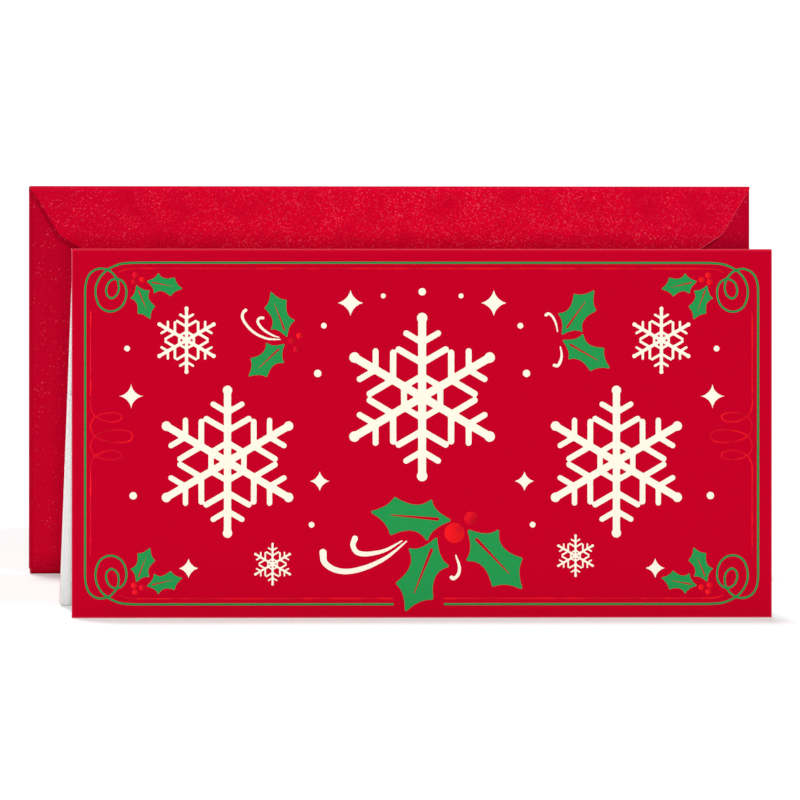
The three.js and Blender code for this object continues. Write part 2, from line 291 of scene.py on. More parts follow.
# Turns y and z about the x axis by an angle and moves them to a place
def leanTo(x, y, z, angle, place):
    cosine, sine = math.cos(angle), math.sin(angle)
    turned = (place[0] + x, place[1] + y * cosine - z * sine, place[2] + y * sine + z * cosine)
    return np.stack(np.broadcast_arrays(*turned), axis=-1)


# Steps from 0 to 1 that are close together at both ends
def eased(count):
    return (1 - np.cos(np.linspace(0, np.pi, count))) / 2


# Card: one sheet from the front's cut edge, over the fold, to the foot of the back. Measures as the CAD
# nodes have them. The columns are even from the first one in, and close together at the edge steps, where
# the wear is.
card = {"axis": np.array(joints["card_fold"]["pos_m"]) / mm, "width": 171.0, "drop": 88.14,
        "backDrop": 87.4993, "backInset": 0.45, "stock": 0.36, "foldRadius": 0.86, "lean": math.radians(7.2),
        "turnReach": 1.15, "paleEdgeReach": 0.13, "ridgeWearAndHighlight": 0.6, "ridgeWearAndHighlightReach": math.radians(34),
        "foldRows": 25, "panelRows": 26, "edgeSteps": (0, 0.08, 0.16, 0.24, 0.35), "firstColumn": 0.6,
        "columns": 60}


# The outside runs straight down the front, round the fold's arc and straight down the back; the inside is
# the same path less the stock along its normal. The back is cut a little narrower, which comes in over the
# fold's rear half. Wear falls off as a bell curve from each cut edge, and from the fold's ridge falls off a
# paler line that is cracked ink and also a painted highlight.
def makeCardSheet(card):
    axis, width, lean = card["axis"], card["width"], card["lean"]
    front = (1 - eased(card["panelRows"])) * card["drop"]
    back = eased(card["panelRows"])[1:] * card["backDrop"]
    turn = np.linspace(np.pi - lean, lean, card["foldRows"])[1:-1]
    down = np.concatenate([front, 0 * turn, back])  # distance below the fold's axis
    normal = np.concatenate([0 * front + np.pi - lean, turn, 0 * back + lean])
    side = np.where(normal > np.pi / 2, -1.0, 1.0)
    edgeSteps = np.array(card["edgeSteps"])
    even = np.linspace(card["firstColumn"], width - card["firstColumn"], card["columns"])
    across = np.concatenate([edgeSteps, even, width - edgeSteps[::-1]]) - width / 2
    inset = card["backInset"] * np.clip((np.pi / 2 - normal) / (np.pi / 2 - lean), 0, 1)
    x = axis[0] + across * (1 - 2 * inset / width)[:, None]
    faces = []
    for radius in (card["foldRadius"], card["foldRadius"] - card["stock"]):
        y = axis[1] + radius * np.cos(normal) + side * down * math.sin(lean)
        z = axis[2] + radius * np.sin(normal) - down * math.cos(lean)
        faces.append(np.stack(np.broadcast_arrays(x, y[:, None], z[:, None]), axis=-1))
    toFoot = np.where(side < 0, card["drop"] - down, width)[:, None]  # the back's foot isn't cut
    toEdge = np.minimum(width / 2 - np.abs(across), toFoot)
    # painted highlight: the fold's ridge is made paler, partly for cracked ink and partly as light catching
    # it
    ridge = np.where(down == 0, np.exp(-((normal - np.pi / 2) / card["ridgeWearAndHighlightReach"]) ** 2), 0)[:, None]
    wear = np.maximum(np.exp(-(toEdge / card["paleEdgeReach"]) ** 2), card["ridgeWearAndHighlight"] * ridge)
    sheet = buildSheet("card_sheet", *faces, [printedRed, boardInside, boardEdge],
                       {"wear": np.tile(wear.ravel(), 2)})
    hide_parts("front_panel", "spine_fold", "back_panel")
    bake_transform(sheet)


makeCardSheet(card)

# Money pocket: the sheet goes on round the back's foot and up inside it, with a thumb notch in its top edge
pocket = {"height": 55.0, "foldRadius": 0.605, "foldY": 0.255, "foldHalf": 84.125, "notchHalf": 13.0,
          "notchDepth": 10.0, "foldRows": 17, "panelRows": 22, "notchColumns": 41, "sideColumns": 24}


# Rows follow the half circle of the fold, which narrows from the back's width to the pocket's, and then
# rise to the top edge, which is level but for half an ellipse. The back's print runs on to the middle of
# the fold.
def makePocketSheet(pocket, card):
    half, notch = pocket["foldHalf"], pocket["notchHalf"]
    backHalf = card["width"] / 2 - card["backInset"]
    side = np.linspace(notch, half, pocket["sideColumns"])[1:]
    middle = notch * np.sin(np.linspace(-np.pi / 2, np.pi / 2, pocket["notchColumns"]))
    across = np.concatenate([-side[::-1], middle, side])
    dip = pocket["notchDepth"] * np.sqrt(np.clip(1 - (across / notch) ** 2, 0, 1))
    rise = eased(pocket["panelRows"])[1:, None] * (pocket["height"] - dip)
    turn = np.linspace(0, -np.pi, pocket["foldRows"])[:, None]
    wider = 1 + (backHalf / half - 1) * (1 + np.cos(turn)) / 2
    x = np.concatenate([wider * across, across + 0 * rise])
    faces = []
    for radius in (pocket["foldRadius"], pocket["foldRadius"] - card["stock"]):
        y = np.concatenate([radius * np.cos(turn) + 0 * across, -radius + 0 * rise]) + pocket["foldY"]
        z = np.concatenate([radius * np.sin(turn) + 0 * across, rise]) - card["backDrop"]
        faces.append(leanTo(x, y, z, card["lean"], card["axis"]))
    sheet = buildSheet("pocket_sheet", *faces, [boardInside, boardInside, boardInside, printedRed],
                       printRows=pocket["foldRows"] // 2)
    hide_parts("pocket_fold", "pocket_panel")
    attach(sheet, "card_back")


makePocketSheet(pocket, card)
print("card and pocket folded")

# Envelope: it stands on its bottom fold and leans back. Measures as the CAD nodes have them, from that
# fold's centre line. The body is the address panel with the side flaps.
# The body and back carry a low painted shine, so that they are painted darker than the flap
envelope = {"foot": np.array([0.775, 34.666, 1.24]), "lean": math.radians(-7.2), "paper": 0.2,
            "halfGap": 1.04, "sideX": 87.36, "sideY": -0.15, "sideRadius": 1.39, "flapReach": 16.0,
            "flapTaper": 4.0, "sideTop": 91.7, "cornerTop": 92.7, "top": 91.32, "bottomHalf": 88.35,
            "backHalf": 86.76, "throat": 77.32, "pinch": 0.03, "shimmer": 0.13, "bodyRows": 48,
            "flapColumns": 9, "sideColumns": 15, "panelColumns": 60, "foldRows": 17, "backRows": 40}


# Address panel with the two sides that fold round to the front: a profile of straights and half circles
# seen from above, carried from a low to a high edge that both narrow towards the free ends of the side
# flaps.
def makeEnvelopeBody(envelope):
    sideX, sideY, radius = envelope["sideX"], envelope["sideY"], envelope["sideRadius"]
    reach = np.linspace(1, 0, envelope["flapColumns"])
    flapX = sideX - reach * envelope["flapReach"]
    cut = reach * envelope["flapTaper"]
    turn = np.linspace(-np.pi / 2, np.pi / 2, envelope["sideColumns"])[1:-1]
    panelX = sideX * np.cos(np.linspace(0, np.pi, envelope["panelColumns"]))
    taper = np.concatenate([cut, 0 * turn, 0 * panelX, 0 * turn, cut[::-1]])
    onPanel = np.concatenate([0 * cut, 0 * turn, 0 * panelX + 1, 0 * turn, 0 * cut])
    faces = []
    for inset in (0, envelope["paper"]):
        foldX = sideX + (radius - inset) * np.cos(turn)
        foldY = sideY + (radius - inset) * np.sin(turn)
        flapY = np.full_like(flapX, sideY - radius + inset)
        panelY = np.full_like(panelX, sideY + radius - inset)
        x = np.concatenate([flapX, foldX, panelX, -foldX[::-1], -flapX[::-1]])
        y = np.concatenate([flapY, foldY, panelY, foldY[::-1], flapY[::-1]])
        outer = np.clip((np.abs(x) - sideX) / radius, 0, 1) ** 2
        side = envelope["sideTop"] + outer * (envelope["cornerTop"] - envelope["sideTop"])
        high = np.where(onPanel > 0, envelope["top"], side) - taper
        z = taper + eased(envelope["bodyRows"])[:, None] * (high - taper)
        faces.append(leanTo(x, y, z, envelope["lean"], envelope["foot"]))
    sheet = buildSheet("envelope_body", *faces, [pearlRed, paperInside, paperInside],
                       {"shimmer": np.full(2 * z.size, envelope["shimmer"])})
    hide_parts("envelope_address_panel", "envelope_side_fold_left", "envelope_side_fold_right",
                "envelope_side_flap_left", "envelope_side_flap_right")
    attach(sheet, "envelope")


# Back panel: a half circle under the foot, then straight up to the mouth's cut edge. At both ends the half
# circle is pinched shut, so that its inside closes on the centre line there.
def makeEnvelopeBack(envelope):
    turn = np.linspace(0, -np.pi, envelope["foldRows"])[:, None]
    rise = eased(envelope["backRows"])[1:, None] * envelope["throat"]
    across = np.linspace(-1, 1, envelope["panelColumns"])
    x = np.concatenate([0 * turn + envelope["bottomHalf"], 0 * rise + envelope["backHalf"]]) * across
    shut = np.where(np.abs(across) == 1, envelope["pinch"], 1)
    faces = []
    for radius, narrow in ((envelope["halfGap"] + envelope["paper"], 1), (envelope["halfGap"], shut)):
        y = np.concatenate([radius * np.cos(turn) * narrow + 0 * across, 0 * rise * across - radius])
        z = np.concatenate([radius * np.sin(turn) * narrow + 0 * across, rise + 0 * across])
        faces.append(leanTo(x, y, z, envelope["lean"], envelope["foot"]))
    sheet = buildSheet("envelope_back", *faces, [pearlRed, paperInside, paperInside],
                       {"shimmer": np.full(2 * x.size, envelope["shimmer"])})
    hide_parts("envelope_bottom_fold", "envelope_back_panel")
    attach(sheet, "envelope")


# Closing flap: it hangs from the fold's half circle and, not being stuck down, springs open a little. A
# line runs down from each corner to a shoulder, and from there a curve that grows flatter goes to the
# rounded point.
# The flap's shine, fade and ridge share paint its light: brighter than the body and darker towards its ends
flap = {"axis": np.array(joints["flap_fold"]["pos_m"]) / mm, "radius": 1.64, "half": 88.6, "cornerRise": 1.2,
        "shoulderX": 81.65, "shoulderDrop": 10.2, "shoulderSlope": 0.64, "apexDrop": 52.36, "tipReach": 15.0,
        "shoulderBlend": 0.3, "spring": math.radians(1.8), "standOff": 0.35, "turnReach": 2.2,
        "shimmer": 0.73, "fade": 0.38, "fadeFrom": 0.14, "ridgeShare": 0.46, "wear": 0.45, "paleEdgeReach": 0.2,
        "paintedHighlightFrom": -0.5, "foldRows": 17, "panelRows": 30, "endShare": 0.1, "endColumns": 25, "columns": 91}


# How far up the corner's line goes for each step towards the corner
def cornerSteepness(flap):
    return (flap["shoulderDrop"] + flap["cornerRise"]) / (flap["half"] - flap["shoulderX"])


# The curve is a quadratic from the apex to the shoulder, with a parabola in place of its point; the flap
# ends at the higher of the curve and the corner's line, blended where they meet
def flapEdge(x, flap):
    x, tip, reach = np.abs(x), flap["tipReach"], flap["shoulderX"]
    rise = flap["apexDrop"] - flap["shoulderDrop"]
    bend = (flap["shoulderSlope"] * reach - rise) / reach ** 2
    slope = flap["shoulderSlope"] - 2 * bend * reach
    tipSlope = slope + 2 * bend * tip
    long = -flap["apexDrop"] + slope * x + bend * x ** 2
    point = -flap["apexDrop"] + slope * tip + bend * tip ** 2 - tipSlope * (tip ** 2 - x ** 2) / (2 * tip)
    short = -flap["shoulderDrop"] + cornerSteepness(flap) * (x - reach)
    soft = flap["shoulderBlend"]
    return soft * np.logaddexp(np.where(x < tip, point, long) / soft, short / soft)


# Rows go round the fold, those on its front keeping inside the corner's line, and then down to the lower
# edge. The painted shine goes from the envelope's at the rear to a share of the flap's on the ridge and all
# of it below the fold. A painted highlight falls off as a bell curve from the lower edge, and comes in from
# the left to the right, towards the side that faces the light.
def makeFlapSheet(flap, envelope):
    ends = flap["endShare"] * eased(flap["endColumns"])[:-1]
    even = np.linspace(flap["endShare"] - 1, 1 - flap["endShare"], flap["columns"])
    share = np.concatenate([-1 + ends, even, 1 - ends[::-1]])
    turn = np.linspace(0, np.pi, flap["foldRows"])[:, None]
    past = np.clip(flap["cornerRise"] - flap["radius"] * np.sin(turn), 0, None)
    foldX = share * (flap["half"] - np.where(turn > np.pi / 2, past, 0) / cornerSteepness(flap))
    panelX = foldX[-1]
    hang = eased(flap["panelRows"])[1:, None] * flapEdge(panelX, flap)
    faces = []
    for radius in (flap["radius"], flap["radius"] - envelope["paper"]):
        fold = radius * np.cos(turn) - flap["standOff"] * (1 - np.cos(turn)) / 2
        y = np.concatenate([fold + 0 * foldX, fold[-1] + hang * math.tan(flap["spring"])])
        z = np.concatenate([radius * np.sin(turn) + 0 * foldX, hang])
        x = np.concatenate([foldX, 0 * hang + panelX])
        faces.append(leanTo(x, y, z, envelope["lean"], flap["axis"]))
    toEdge = np.concatenate([0 * foldX + flap["radius"], hang - hang[-1]])
    # painted highlight: a paler line along the flap's lower edge, growing towards the right
    wear = flap["wear"] * np.exp(-(toEdge / flap["paleEdgeReach"]) ** 2) * np.clip(share - flap["paintedHighlightFrom"], 0, 1)
    # painted shade: the flap's painted shine falls off towards its ends, most at the left
    bright = flap["shimmer"] * (1 - flap["fade"] * (share - flap["fadeFrom"]) ** 2)
    # on the fold the painted shine passes from the body's to the flap's
    foot = np.where(turn > np.pi / 2, bright, envelope["shimmer"])
    onFold = foot + np.sin(turn) * (flap["ridgeShare"] * bright - foot)
    shimmer = np.concatenate([onFold, 0 * hang + bright])
    sheet = buildSheet("envelope_flap_sheet", *faces, [pearlRed, paperInside, paperInside],
                       {"shimmer": np.tile(shimmer.ravel(), 2), "wear": np.tile(wear.ravel(), 2)})
    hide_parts("envelope_flap_fold", "closing_flap")
    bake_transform(sheet)


# Gum: a thin strip inside the flap, a little way up from its lower edge, that follows the edge from end to
# end
gum = {"half": 70.75, "inset": 3.0, "width": 9.0, "film": 0.05, "sink": 0.01, "columns": 141, "rows": 7}


def makeFlapGum(gum, flap, envelope):
    x = np.linspace(-1, 1, gum["columns"]) * gum["half"]
    hang = flapEdge(x, flap) + gum["inset"] + np.linspace(0, 1, gum["rows"])[:, None] * gum["width"]
    inner = hang * math.tan(flap["spring"]) - flap["radius"] - flap["standOff"] + envelope["paper"]
    faces = [leanTo(x, inner + rise, hang, envelope["lean"], flap["axis"])
             for rise in (gum["film"], -gum["sink"])]
    strip = buildSheet("flap_gum_strip", *faces, [glueFilm, glueFilm, glueFilm])
    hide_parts("flap_gum")
    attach(strip, "envelope_flap")


makeEnvelopeBody(envelope)
makeEnvelopeBack(envelope)
makeFlapSheet(flap, envelope)
makeFlapGum(gum, flap, envelope)
print("envelope folded")

# The pieces that stay as the CAD has them, with the material of each
keptNodes = {"tab_fold": boardInside, "pocket_tab": boardInside, "tab_glue": glueFilm, "seam_glue": glueFilm}
for nodeName, node in frame["nodes"].items():
    for start, material in keptNodes.items():
        if nodeName.startswith(start):
            node.data.materials.clear()
            node.data.materials.append(material)

# Print: each motif is a field of distances over a grid on the front, u to the right and w up from the
# front's middle, in millimetres, negative inside the motif. A film has a share of its height at its edge,
# and sinks a little way into the board.
film = {"edgeShare": 0.45, "sink": 0.008, "farAway": 1e3}


# The nearest point of a straight run: its place along the run, from 0 to 1, and how far away it is
def nearestOnRun(u, w, start, run):
    fromU, fromW = u - start[0], w - start[1]
    along = np.clip((fromU * run[0] + fromW * run[1]) / (run[0] ** 2 + run[1] ** 2), 0, 1)
    return along, np.hypot(fromU - along * run[0], fromW - along * run[1])


# A pen stroke: distance to the nearest run of the path, less half the pen's width there. The path's columns
# are u, w and that width.
def strokeField(u, w, path):
    field = np.full(u.shape, film["farAway"])
    for start, run in zip(path[:-1], np.diff(path, axis=0)):
        along, away = nearestOnRun(u, w, start, run)
        field = np.minimum(field, away - (start[2] + along * run[2]) / 2)
    return field


# A closed outline: distance to the nearest side, negative where a level line from the point crosses an odd
# number of sides
def outlineField(u, w, outline):
    away = np.full(u.shape, film["farAway"])
    inside = np.zeros(u.shape, bool)
    for start, run in zip(outline, np.roll(outline, -1, axis=0) - outline):
        away = np.minimum(away, nearestOnRun(u, w, start, run)[1])
        level = (start[1] > w) != (start[1] + run[1] > w)
        lean = run[0] / run[1] if run[1] else 0
        inside ^= level & (u < start[0] + (w - start[1]) * lean)
    return np.where(inside, -away, away)


# Catmull-Rom: each span is a cubic whose ends run along the chord between the neighbouring points
def smoothPath(points, steps):
    p = np.asarray(points, float)
    p = np.vstack([2 * p[0] - p[1], p, 2 * p[-1] - p[-2]])
    a, b, c, d = p[:-3], p[1:-2], p[2:-1], p[3:]
    t = np.linspace(0, 1, steps, endpoint=False)[:, None, None]
    spans = 2 * b + (c - a) * t + (2 * a - 5 * b + 4 * c - d) * t ** 2 + (3 * b - a - 3 * c + d) * t ** 3
    return np.vstack([spans.transpose(1, 0, 2).reshape(-1, p.shape[1]) / 2, p[-2:-1]])


# The box, left, right, foot and top, round some points with room on every side
def boxRound(points, room):
    (lowU, lowW), (highU, highW) = np.min(points, axis=0) - room, np.max(points, axis=0) + room
    return lowU, highU, lowW, highW


# A film of ink where a field is negative: every grid point inside becomes a face between the middles of the
# four cells round it, and the middles of cells that the outline crosses move onto it. Walls close the film
# down to the card. The look has the grid's pitch, the film's height and how far in from its edge, at the
# shoulder, it reaches that height.
def filmPatch(fieldOf, box, look):
    (lowU, highU, lowW, highW), pitch = box, look["pitch"]
    us = np.arange(lowU - 2 * pitch, highU + 2 * pitch, pitch)
    ws = np.arange(lowW - 2 * pitch, highW + 2 * pitch, pitch)
    u, w = np.meshgrid(us, ws, indexing="ij")
    field = fieldOf(u, w)
    corners = np.stack([field[:-1, :-1], field[1:, :-1], field[1:, 1:], field[:-1, 1:]])
    following = np.roll(corners, -1, axis=0)
    crossed = (corners < 0) != (following < 0)
    share = np.where(crossed, corners / np.where(crossed, corners - following, 1), 0)
    cornerU, cornerW = np.array([0, 1, 1, 0])[:, None, None], np.array([0, 0, 1, 1])[:, None, None]
    sideU, sideW = np.roll(cornerU, -1, axis=0) - cornerU, np.roll(cornerW, -1, axis=0) - cornerW
    count = crossed.sum(axis=0)
    spotU = np.where(count, (crossed * (cornerU + share * sideU)).sum(axis=0) / np.maximum(count, 1), 0.5)
    spotW = np.where(count, (crossed * (cornerW + share * sideW)).sum(axis=0) / np.maximum(count, 1), 0.5)
    depth = np.where(count, 0, -corners.mean(axis=0))
    crown = np.sin(np.clip(depth / look["shoulder"], 0, 1) * np.pi / 2)
    lift = look["film"] * (film["edgeShare"] + (1 - film["edgeShare"]) * crown)
    inside = field < 0
    i, j = np.nonzero(inside)
    columns = corners.shape[2]
    here = i * columns + j
    cell = np.stack([here - columns - 1, here - 1, here, here - columns], axis=-1)
    nextCell = np.roll(cell, -1, axis=1)
    beside = np.stack([inside[i, j - 1], inside[i + 1, j], inside[i, j + 1], inside[i - 1, j]], axis=-1)
    used, faces = np.unique(cell, return_inverse=True)
    faces = faces.reshape(-1, 4)
    edgeStart, edgeEnd = faces[~beside], np.searchsorted(used, nextCell[~beside])
    under = len(used)
    wall = np.stack([edgeEnd, edgeStart, edgeStart + under, edgeEnd + under], axis=-1)
    top = np.stack([us[used // columns] + pitch * spotU.ravel()[used],
                    ws[used % columns] + pitch * spotW.ravel()[used], lift.ravel()[used]], axis=-1)
    bottom = top * [1, 1, 0] - [0, 0, film["sink"]]
    return np.concatenate([top, bottom]), np.concatenate([faces, faces[:, ::-1] + under, wall])


# The front as it is read, from the fold's ridge to the cut edge, how far off its middle the print is, the
# box that the rules lie in, and where the bottom rules break for the holly
sheetFront = {"height": 89.0, "register": (-0.06, -0.05, 0), "rules": (-83.5, 83.5, -42.5, 42.5),
              "breakFrom": -6.95, "breakTo": 5.3}


# Joins patches into one piece and lays it on the card's front: u along the fold, w up the slope, height
# outwards
def layPrint(name, patches, material, attributes=None):
    starts = np.cumsum([0] + [len(points) for points, faces in patches])
    u, w, height = (np.concatenate([points for points, faces in patches]) + sheetFront["register"]).T
    faces = np.concatenate([faces + start for (points, faces), start in zip(patches, starts)])
    down = card["drop"] - sheetFront["height"] / 2 - w
    points = leanTo(u, -card["foldRadius"] - height, -down, -card["lean"], card["axis"])
    piece = buildPiece(name, points, faces, [material], attributes=attributes)
    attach(piece, "card_front")
    print(name, "printed,", 2 * len(faces), "triangles")


# Green rule: straight along the edges, and in each corner one line that goes twice round a loop. A quarter
# of it is drawn and the other three are its mirror images.
greenRule = {"pen": 0.5, "top": 41.18, "side": 82.2, "pitch": 0.14, "film": 0.03, "shoulder": 0.25,
             "steps": 8,
             "loop": [(68.5, 41.18), (71.3, 41.1), (73.8, 40.8), (76.45, 39.65), (78.35, 37.95),
                      (79.5, 35.65), (79.6, 33.2), (78.7, 30.75), (76.95, 29.55), (74.9, 29.6), (73.1, 30.9),
                      (72.25, 32.9), (72.25, 35.05), (73.1, 36.65), (74.7, 37.3), (76.3, 36.55),
                      (77.05, 34.9), (76.85, 33.4), (75.75, 32.6), (74.45, 33.5), (74.0, 35.2),
                      (74.45, 37.2), (75.85, 38.9), (77.7, 39.7), (79.6, 39.5), (81.2, 38.3), (82.0, 36.3),
                      (82.2, 34.2), (82.2, 31.5)]}


# The gap left in a bottom rule, as a field that is negative in the gap
def ruleBreak(u, w):
    across = np.maximum(sheetFront["breakFrom"] - u, u - sheetFront["breakTo"])
    return np.maximum(across, w + sheetFront["height"] / 4)


# A path with the same width of pen all along it
def withPen(path, pen):
    return np.column_stack([path, np.full(len(path), pen)])


def makeGreenRule(rule):
    path = np.vstack([[0, rule["top"]], smoothPath(rule["loop"], rule["steps"]), [rule["side"], 0]])
    path = withPen(path, rule["pen"])

    def fieldOf(u, w):
        return np.maximum(strokeField(np.abs(u), np.abs(w), path), -ruleBreak(u, w))
    layPrint("green_rule", [filmPatch(fieldOf, sheetFront["rules"], rule)], inkRule)


makeGreenRule(greenRule)

# Foil rule inside the green one, with a curled tail at each corner and three level loops half way up each
# side. The berries have u, w, their size and, where they aren't mirrored, their painted gleam.
foilRule = {"pen": 0.38, "top": 39.8, "side": 80.8, "sideEnd": 29.3, "pitch": 0.15, "film": 0.02,
            "shoulder": 0.19, "knotDrop": 0.65, "steps": 8, "tailSteps": 6,
            "tail": [(66.5, 39.8), (68.5, 39.8), (71.8, 39.65), (73.8, 38.95)],
            "knot": [(0, 9.0), (0, 7.3), (0.75, 5.2), (2.9, 3.85), (5.3, 3.4), (7.2, 4.0), (7.45, 5.0),
                     (5.8, 5.65), (2.9, 5.4), (0.9, 4.5), (0.05, 3.0), (0.1, 1.5), (0.95, 0)],
            "middleLoop": [(0.95, 0), (3.4, 1.1), (7.0, 1.52), (9.4, 1.15), (10.3, 0)]}
foilBerries = {"corner": [(70.0, 38.2, 0.72), (70.3, 36.6, 0.72), (68.35, 37.1, 0.72)],
               "sprig": [(-29.9, 23.6, 0.8, -0.14), (-31.8, 22.4, 0.8, -0.26), (-30.7, 20.3, 0.8, -0.02)],
               "bottom": [(7.9, -24.0, 2.45, 0.09), (11.95, -20.5, 1.65, -0.08)],
               "pitch": 0.12, "film": 0.035}
# painted reflection: how much lighter or darker the foil is painted on the left, the right and the berries
paintedFoilGleam = {"left": -0.07, "right": 0.02, "leftBerries": 0.0, "rightBerries": 0.08}


# The rule is drawn for one quarter, or one side with its knot, and mirrored; each berry is a disc. The
# painted gleam, a painted reflection, goes evenly from the left side to the right.
def printFoil(rule, berries, paintedGleam):
    side = rule["side"]
    top = np.vstack([[0, rule["top"]], smoothPath(rule["tail"], rule["tailSteps"])])
    upright = [[side, rule["sideEnd"]], [side, rule["knot"][0][1]]]
    knot = smoothPath(rule["knot"], rule["steps"]) * [-1, 1] + [side, 0]
    middle = smoothPath(rule["middleLoop"], rule["steps"]) * [-1, 1] + [side, 0]
    top, upright, knot, middle = [withPen(path, rule["pen"]) for path in (top, upright, knot, middle)]

    def fieldOf(u, w):
        fromMiddle, high, fromKnot = np.abs(u), np.abs(w), np.abs(w + rule["knotDrop"])
        strokes = ((high, top), (high, upright), (fromKnot, knot), (fromKnot, middle))
        field = np.min([strokeField(fromMiddle, rise, path) for rise, path in strokes], axis=0)
        return np.maximum(field, -ruleBreak(u, w))

    spots = [(u * flipU, w * flipW, size, paintedGleam["leftBerries" if flipU < 0 else "rightBerries"])
             for u, w, size in berries["corner"] for flipU in (-1, 1) for flipW in (-1, 1)]
    spots += berries["sprig"] + berries["bottom"]
    patches = [filmPatch(fieldOf, sheetFront["rules"], rule)]
    paintedGleams = [np.interp(patches[0][0][:, 0], [-side, side], [paintedGleam["left"], paintedGleam["right"]])]
    for middleU, middleW, size, turned in spots:
        patches.append(filmPatch(lambda u, w: np.hypot(u - middleU, w - middleW) - size,
                                 boxRound([(middleU, middleW)], size), {**berries, "shoulder": size}))
        paintedGleams.append(np.full(len(patches[-1][0]), turned))
    layPrint("red_foil", patches, foilRed, {"paintedGleam": np.concatenate(paintedGleams)})


printFoil(foilRule, foilBerries, paintedFoilGleam)

# Holly: each leaf runs from a stem point to a tip. Its spines and the hollows between them are fractions of
# its length, along and across the midrib, and a slit of bare red marks the vein. A leaf that isn't mirrored
# ends with the breadth of each side.
holly = {"spines": [(0, 0), (0.26, 0.275), (0.73, 0.255), (1, 0)],
         "hollows": [(0.24, 0.12), (0.42, 0.07), (0.79, 0.09)],
         "vein": [(0.15, 0.0), (0.76, 0.012)], "veinPen": (0.042, 0.012), "spineRound": 0.018,
         "pitch": 0.15, "film": 0.035, "steps": 7, "room": 0.5, "shoulder": 0.5,
         "cornerLeaves": [((67.0, 36.7), (58.7, 34.9)), ((69.65, 35.6), (66.45, 27.7))],
         "sprigLeaves": [((-33.1, 23.5), (-36.85, 33.95), 0.92, 0.97),
                         ((-33.8, 21.4), (-42.15, 13.95), 1, 0.95),
                         ((34.3, 24.1), (41.9, 34.3), 1, 0.95), ((34.6, 22.4), (45.6, 15.95), 1, 0.86)],
         "bottomLeaves": [((6.6, -20.95), (-12.1, -18.95), 0.98, 0.8), ((3.4, -25.5), (-3.9, -42.5), 1, 0.95),
                          ((11.45, -23.55), (24.15, -37.2), 1, 0.96)]}


# One side of the leaf is a chain of quadratic curves from spine to spine, each pulled in to its hollow; the
# other mirrors it, and each side has its own breadth
def leafPatch(holly, stem, tip, leftBreadth=1, rightBreadth=1):
    stem, tip = np.array(stem), np.array(tip)
    spines, hollows = np.array(holly["spines"]), np.array(holly["hollows"])
    t = np.linspace(0, 1, holly["steps"], endpoint=False)[:, None, None]
    chain = (1 - t) ** 2 * spines[:-1] + 2 * t * (1 - t) * hollows + t ** 2 * spines[1:]
    oneSide = chain.transpose(1, 0, 2).reshape(-1, 2)
    outline = np.vstack([oneSide * [1, leftBreadth], [[1, 0]], oneSide[:0:-1] * [1, -rightBreadth]])
    along = tip - stem
    length = np.hypot(*along)
    turn = np.array([along, [-along[1], along[0]]])
    leaf = stem + outline @ turn
    vein = np.column_stack([stem + np.array(holly["vein"]) @ turn, np.array(holly["veinPen"]) * length])

    def fieldOf(u, w):
        blade = outlineField(u, w, leaf) - holly["spineRound"] * length
        return np.maximum(blade, -strokeField(u, w, vein))
    return filmPatch(fieldOf, boxRound(leaf, holly["room"]), holly)


leaves = [((stemU * flipU, stemW * flipW), (tipU * flipU, tipW * flipW))
          for (stemU, stemW), (tipU, tipW) in holly["cornerLeaves"] for flipU in (-1, 1) for flipW in (-1, 1)]
leaves += holly["sprigLeaves"] + holly["bottomLeaves"]
layPrint("green_holly", [leafPatch(holly, *leaf) for leaf in leaves], inkGreen)

# Cream strokes that curl away from the holly, thin where they start and round where they end: u, w and the
# pen's width
swashes = {"pitch": 0.12, "film": 0.04, "steps": 8, "room": 0.3, "shoulder": 0.4, "strokes": [
    [(-34.65, 22.7, 0.25), (-36.5, 22.73, 0.42), (-38.3, 23.0, 0.53), (-40.75, 24.15, 0.6),
     (-42.45, 25.65, 0.63), (-43.6, 27.25, 0.64), (-43.9, 28.4, 0.66), (-43.6, 29.3, 0.7),
     (-43.05, 29.75, 0.76)],
    [(-35.0, 23.2, 0.25), (-36.3, 23.6, 0.42), (-38.3, 24.7, 0.58), (-39.5, 25.8, 0.64), (-40.1, 26.8, 0.64),
     (-40.0, 27.5, 0.62), (-39.45, 27.9, 0.62), (-38.85, 27.85, 0.66)],
    [(33.08, 24.57, 0.25), (32.83, 26.06, 0.4), (32.3, 27.46, 0.52), (31.6, 28.49, 0.58),
     (30.88, 28.92, 0.64), (30.28, 28.6, 0.74)],
    [(33.77, 20.93, 0.3), (34.03, 19.68, 0.46), (34.06, 18.45, 0.6), (33.7, 17.2, 0.7), (33.08, 16.35, 0.74),
     (32.3, 16.47, 0.76)],
    [(-3.8, -26.0, 0.3), (-8.4, -29.7, 0.8), (-13.3, -32.15, 1.15), (-17.9, -33.25, 1.3),
     (-21.4, -32.8, 1.35), (-23.8, -31.1, 1.45), (-24.2, -28.7, 1.75)],
    [(-4.9, -25.9, 0.3), (-9.1, -28.2, 0.8), (-13.3, -29.05, 1.1), (-15.8, -28.7, 1.2), (-16.9, -27.0, 1.25),
     (-16.4, -25.3, 1.4)],
    [(8.25, -29.4, 0.35), (9.1, -32.15, 0.7), (8.8, -34.05, 0.8), (7.75, -35.0, 0.8), (7.2, -34.75, 0.95)]]}


# A smooth pen stroke through a few points, with room round it for the widest part
def strokePatch(points, look):
    path = smoothPath(points, look["steps"])
    room = path[:, 2].max() / 2 + look["room"]
    return filmPatch(lambda u, w: strokeField(u, w, path), boxRound(path[:, :2], room), look)


layPrint("cream_swashes", [strokePatch(points, swashes) for points in swashes["strokes"]], inkCream)

